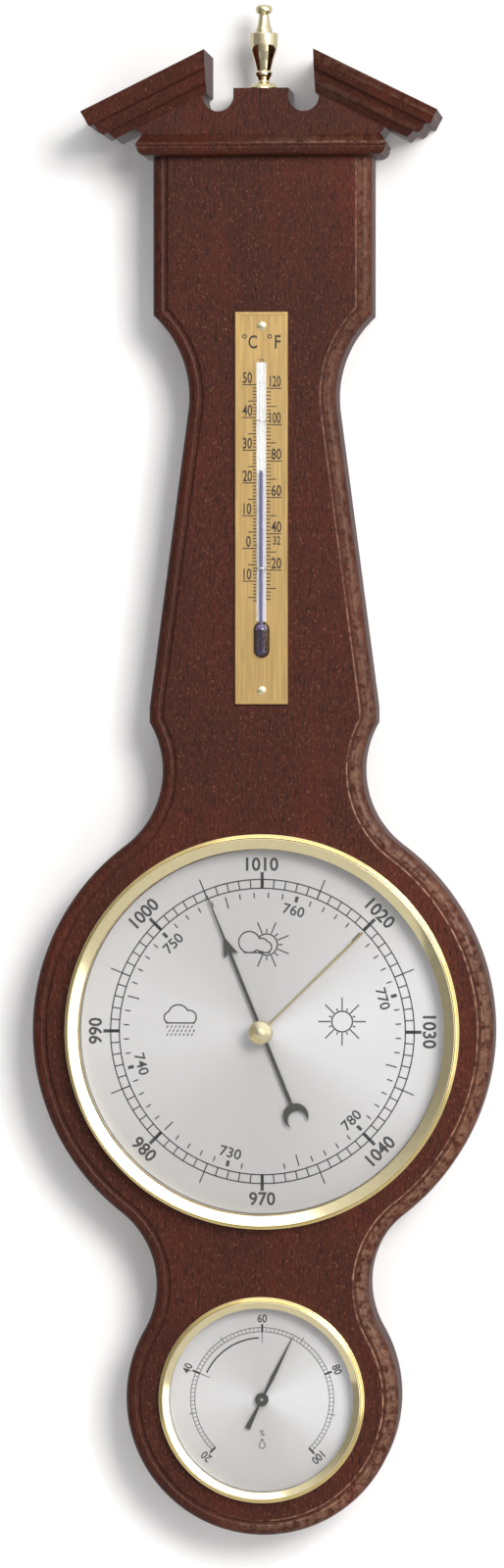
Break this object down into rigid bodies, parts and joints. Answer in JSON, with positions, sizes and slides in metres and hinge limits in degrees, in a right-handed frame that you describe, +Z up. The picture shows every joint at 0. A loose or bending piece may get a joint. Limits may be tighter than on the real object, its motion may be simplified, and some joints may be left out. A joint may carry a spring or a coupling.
{
  "type": "analogue weather station",
  "caption": "Wall-hung wooden weather station with a broken pediment: a thermometer above an aneroid barometer and a hygrometer, each under glass in a metal ring.",
  "frame": {"origin": "centre of the round part of the keyhole in the hanger plate, in the plane of the wall", "axes": "+Z up the wall, +Y into the wall, +X to the right as seen from the front; the dials face -Y"},
  "size_m": [0.152, 0.0364, 0.5033],
  "materials": {
    "mahogany": "satin, stained and lacquered",
    "dowel_wood": "bare",
    "turned_brass": "polished and lacquered",
    "plain_steel": "plain",
    "plated_hanger": "plated, dull",
    "scale_brass": "brushed and lacquered",
    "bright_brass": "polished",
    "tube_glass": "clear",
    "white_backing": "gloss white",
    "violet_spirit": "dyed spirit",
    "bezel_brass": "polished",
    "clear_glass": "clear",
    "spacer_brass": "plain",
    "case_steel": "lacquered",
    "grip_rubber": "matt",
    "dial_silver": "radially brushed",
    "hand_black": "satin black",
    "hand_brass": "polished",
    "movement_brass": "plain",
    "capsule_metal": "plain",
    "coil_strip": "plain"
  },
  "bodies": {
    "board": {"back_board": "mahogany", "cornice_shelf": "mahogany", "pediment_board": "mahogany", "rake_left": "mahogany", "rake_right": "mahogany", "rake_return_left": "mahogany", "rake_return_right": "mahogany", "pediment_dowels": "dowel_wood", "finial": "turned_brass", "finial_stud": "plain_steel", "hanger_plate": "plated_hanger", "hanger_screws": "plain_steel", "thermo_plate": "scale_brass", "thermo_screws": "bright_brass", "thermo_tube": "tube_glass", "thermo_backing": "white_backing", "thermo_spirit": "violet_spirit", "tube_clips": "bright_brass", "baro_bezel": "bezel_brass", "baro_glass": "clear_glass", "baro_spacer": "spacer_brass", "baro_pan": "case_steel", "baro_grip_band": "grip_rubber", "baro_dial": "dial_silver", "dial_pillars": "movement_brass", "knob_washer": "hand_brass", "movement_base": "plain_steel", "base_screws": "movement_brass", "capsule": "capsule_metal", "bow_spring": "plain_steel", "main_lever": "movement_brass", "rocker_bracket": "plain_steel", "hairspring": "plain_steel", "lower_bridge": "movement_brass", "top_bridge": "movement_brass", "bridge_pillars": "movement_brass", "bridge_screws": "plain_steel", "hygro_bezel": "bezel_brass", "hygro_glass": "clear_glass", "hygro_spacer": "spacer_brass", "hygro_pan": "case_steel", "hygro_grip_band": "grip_rubber", "hygro_dial": "dial_silver", "hygro_dial_feet": "movement_brass", "hygro_coil": "coil_strip", "hygro_bridge": "plain_steel", "hygro_bridge_screws": "movement_brass"},
    "pressure": {"pressure_hand": "hand_black", "hand_arbor": "plain_steel"},
    "sector": {"sector_gear": "movement_brass"},
    "rocker": {"rocking_shaft": "plain_steel"},
    "setter": {"set_hand": "hand_brass", "set_knob": "hand_brass"},
    "adjuster": {"adjusting_screw": "movement_brass"},
    "hygro": {"hygro_hand": "hand_black", "hygro_arbor": "plain_steel"}
  },
  "joints": [
    {"name": "sector_turn", "type": "hinge", "parent": "board", "child": "sector", "pos_m": [0.01808, -0.0126, -0.262], "axis": [0, 1, 0], "range_deg": [-17.4, 13.4], "stiffness_Nm_per_rad": 0.05},
    {"name": "pressure_turn", "type": "hinge", "parent": "board", "child": "pressure", "pos_m": [0, -0.0148, -0.262], "axis": [0, 1, 0], "range_deg": [-147.4, 191.4]},
    {"name": "rocker_turn", "type": "hinge", "parent": "board", "child": "rocker", "pos_m": [0.02958, -0.0058, -0.2646], "axis": [1, 0, 0], "range_deg": [-26.1, 20.1]},
    {"name": "set_turn", "type": "hinge", "parent": "board", "child": "setter", "pos_m": [0, -0.0256, -0.262], "axis": [0, 1, 0], "continuous": true},
    {"name": "adjuster_turn", "type": "hinge", "parent": "board", "child": "adjuster", "pos_m": [0, -0.0022, -0.282], "axis": [0, 1, 0], "range_deg": [-180, 180]},
    {"name": "hygro_turn", "type": "hinge", "parent": "board", "child": "hygro", "pos_m": [0, -0.0158, -0.383], "axis": [0, 1, 0], "range_deg": [-160, 108], "stiffness_Nm_per_rad": 0.001}
  ],
  "couplings": [
    {"joint": "pressure_turn", "follows": "sector_turn", "ratio": -11},
    {"joint": "rocker_turn", "follows": "sector_turn", "ratio": 1.5}
  ]
}
